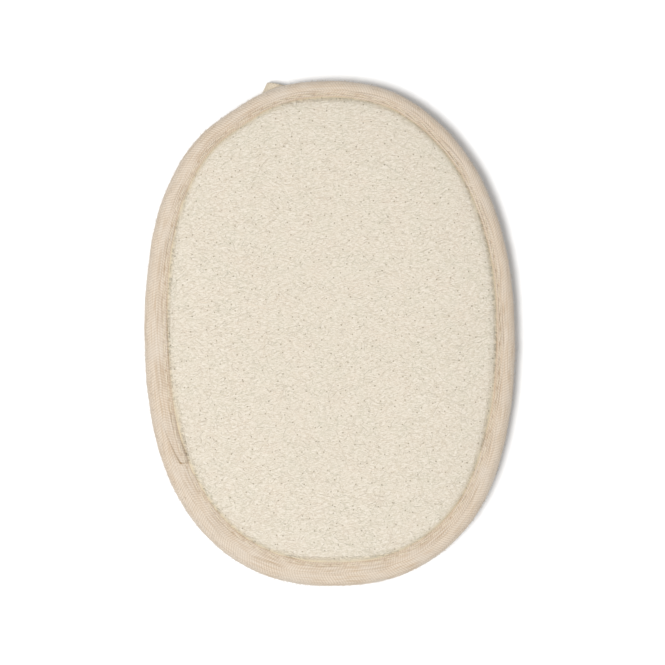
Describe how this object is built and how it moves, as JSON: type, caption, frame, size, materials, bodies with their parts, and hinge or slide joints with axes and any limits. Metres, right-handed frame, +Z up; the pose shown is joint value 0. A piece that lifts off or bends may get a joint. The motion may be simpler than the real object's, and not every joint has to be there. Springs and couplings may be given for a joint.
{
  "type": "bound oval loofah bath pad",
  "caption": "Oval bath pad of flattened natural loofah with a terry back, bound in folded cotton tape, with a hand strap across the back and a small hanging loop.",
  "frame": {"origin": "centre of the flat underside of the hand strap, which the pad lies on, at the middle of the pad's oval seen from above", "axes": "+Z up through the loofah face, +Y along the pad's length towards the hanging loop, +X across the pad"},
  "size_m": [0.1099, 0.1505, 0.0172],
  "materials": {
    "loofah": "flattened mat of dried loofah fibre, matt",
    "padding": "needled cotton wadding, matt",
    "terry": "unbleached looped cotton terry, matt",
    "binding": "herringbone cotton tape, matt",
    "thread": "spun cotton sewing thread",
    "webbing": "plain woven cotton webbing, matt",
    "loop_tape": "plain woven cotton tape, matt"
  },
  "bodies": {
    "root": {"loofah_sheet": "loofah", "inner_padding": "padding", "terry_back": "terry", "binding_tape": "binding", "front_stitching": "thread", "back_stitching": "thread", "hand_strap": "webbing", "hanging_loop": "loop_tape"}
  },
  "joints": []
}
